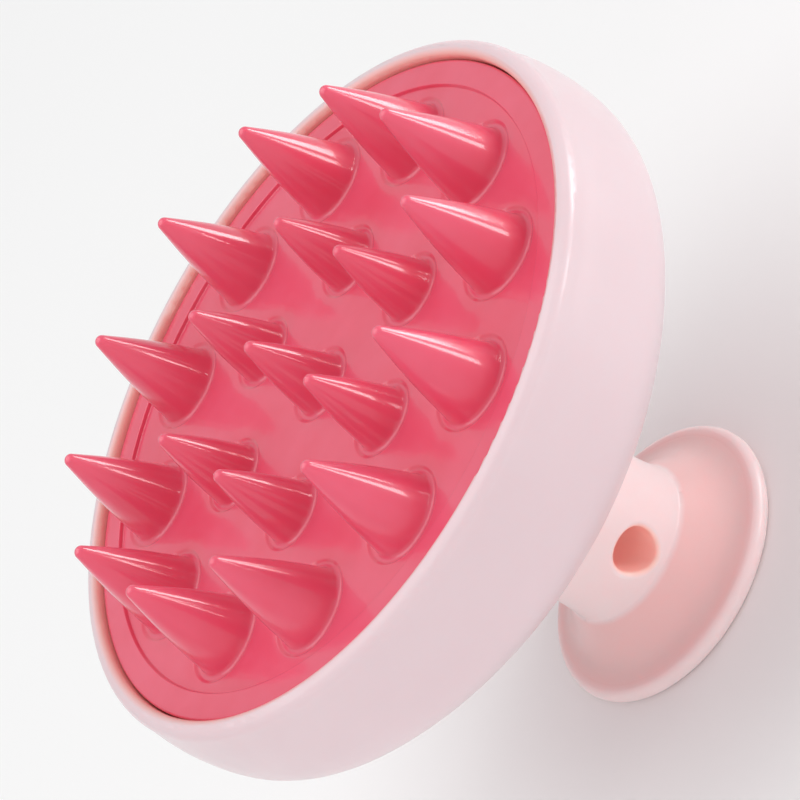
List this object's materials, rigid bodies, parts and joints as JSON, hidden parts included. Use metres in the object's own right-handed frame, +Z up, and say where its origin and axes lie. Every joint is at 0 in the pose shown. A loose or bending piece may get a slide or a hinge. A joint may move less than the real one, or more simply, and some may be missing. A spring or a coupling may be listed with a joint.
{
  "type": "scalp massager brush",
  "caption": "Round shampoo and scalp massage brush with a soft cone-bristle head in a bowl-shaped shell on a spool handle.",
  "frame": {"origin": "centre of the flat end of the handle, on which the brush stands", "axes": "+Z up along the axis of symmetry, from the handle to the bristles; the hanging hole through the stem runs along Y"},
  "size_m": [0.0864, 0.0864, 0.066],
  "materials": {
    "shell_plastic": "pale pink, satin-gloss, slightly translucent",
    "pad_silicone": "coral red silicone, wet-look gloss",
    "inner_plastic": "natural white moulded plastic",
    "seal_rubber": "dark grey rubber",
    "screw_steel": "plain stainless steel"
  },
  "bodies": {
    "body": {"shell_cup": "shell_plastic", "handle_body": "shell_plastic", "handle_end_cap": "shell_plastic", "handle_screws": "screw_steel"},
    "bristle_head": {"silicone_pad": "pad_silicone", "carrier_plate": "inner_plastic", "clamp_ring": "inner_plastic", "head_seal_ring": "seal_rubber", "clamp_screws": "screw_steel"}
  },
  "joints": [
    {"name": "head_pull_out", "type": "slide", "parent": "body", "child": "bristle_head", "axis": [0, 0, 1], "range_m": [0, 0.02]}
  ]
}
